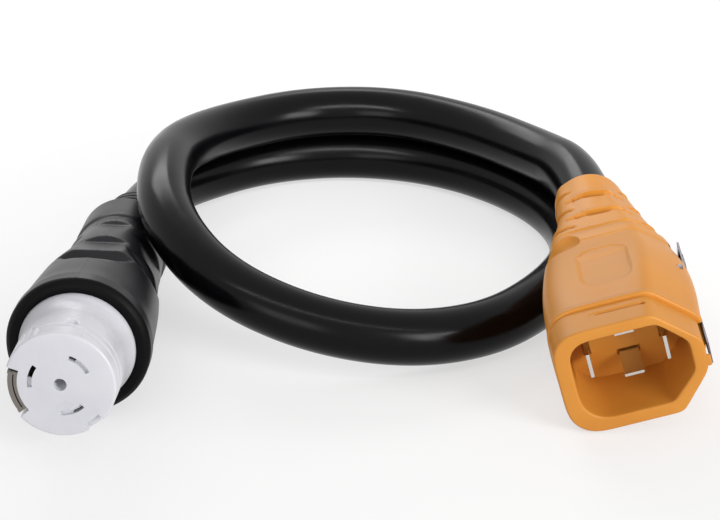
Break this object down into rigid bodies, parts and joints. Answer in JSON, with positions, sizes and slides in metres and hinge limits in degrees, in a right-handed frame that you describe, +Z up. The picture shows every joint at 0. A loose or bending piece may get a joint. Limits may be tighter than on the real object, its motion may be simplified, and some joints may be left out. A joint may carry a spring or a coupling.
{
  "type": "power adapter lead",
  "caption": "Short heavy power adapter cable with a twist-lock connector at one end and a hooded orange connector with a side latch at the other.",
  "frame": {"origin": "on the floor, at the middle of the two connectors' footprint", "axes": "+Z up, +X from the twist-lock end to the hooded end, +Y from the mating faces back towards the cable's loop"},
  "size_m": [0.338, 0.3376, 0.0721],
  "materials": {
    "white_nylon": "milky satin",
    "boot_rubber": "satin",
    "carrier_plastic": "matte",
    "contact_metal": "nickel plated",
    "ground_metal": "satin",
    "wire_insulation": "gloss",
    "cable_jacket": "gloss",
    "orange_plastic": "satin",
    "latch_steel": "satin"
  },
  "bodies": {
    "adapter": {"lock_nose": "white_nylon", "lock_boot": "boot_rubber", "lock_carrier": "carrier_plastic", "line_contact_1": "contact_metal", "line_contact_2": "contact_metal", "line_contact_3": "contact_metal", "ground_contact": "ground_metal", "lock_wire_1": "wire_insulation", "lock_wire_2": "wire_insulation", "lock_wire_3": "wire_insulation", "lock_wire_4": "wire_insulation", "cable": "cable_jacket", "plug_body": "orange_plastic", "plug_shroud": "orange_plastic", "blade_carrier": "orange_plastic", "blade_left": "contact_metal", "blade_right": "contact_metal", "blade_top": "contact_metal", "blade_ground": "contact_metal", "latch_pin": "latch_steel", "latch_spring": "latch_steel", "plug_wire_1": "wire_insulation", "plug_wire_2": "wire_insulation", "plug_wire_3": "wire_insulation", "plug_wire_4": "wire_insulation"},
    "latch": {"latch": "latch_steel"}
  },
  "joints": [
    {"name": "latch_pivot", "type": "hinge", "parent": "adapter", "child": "latch", "pos_m": [0.16105, -0.0264, 0.04893], "axis": [-0.2604, -0.106, 0.9597], "range_deg": [0, 6], "stiffness_Nm_per_rad": 0.5, "deforming": ["latch_spring"]}
  ]
}
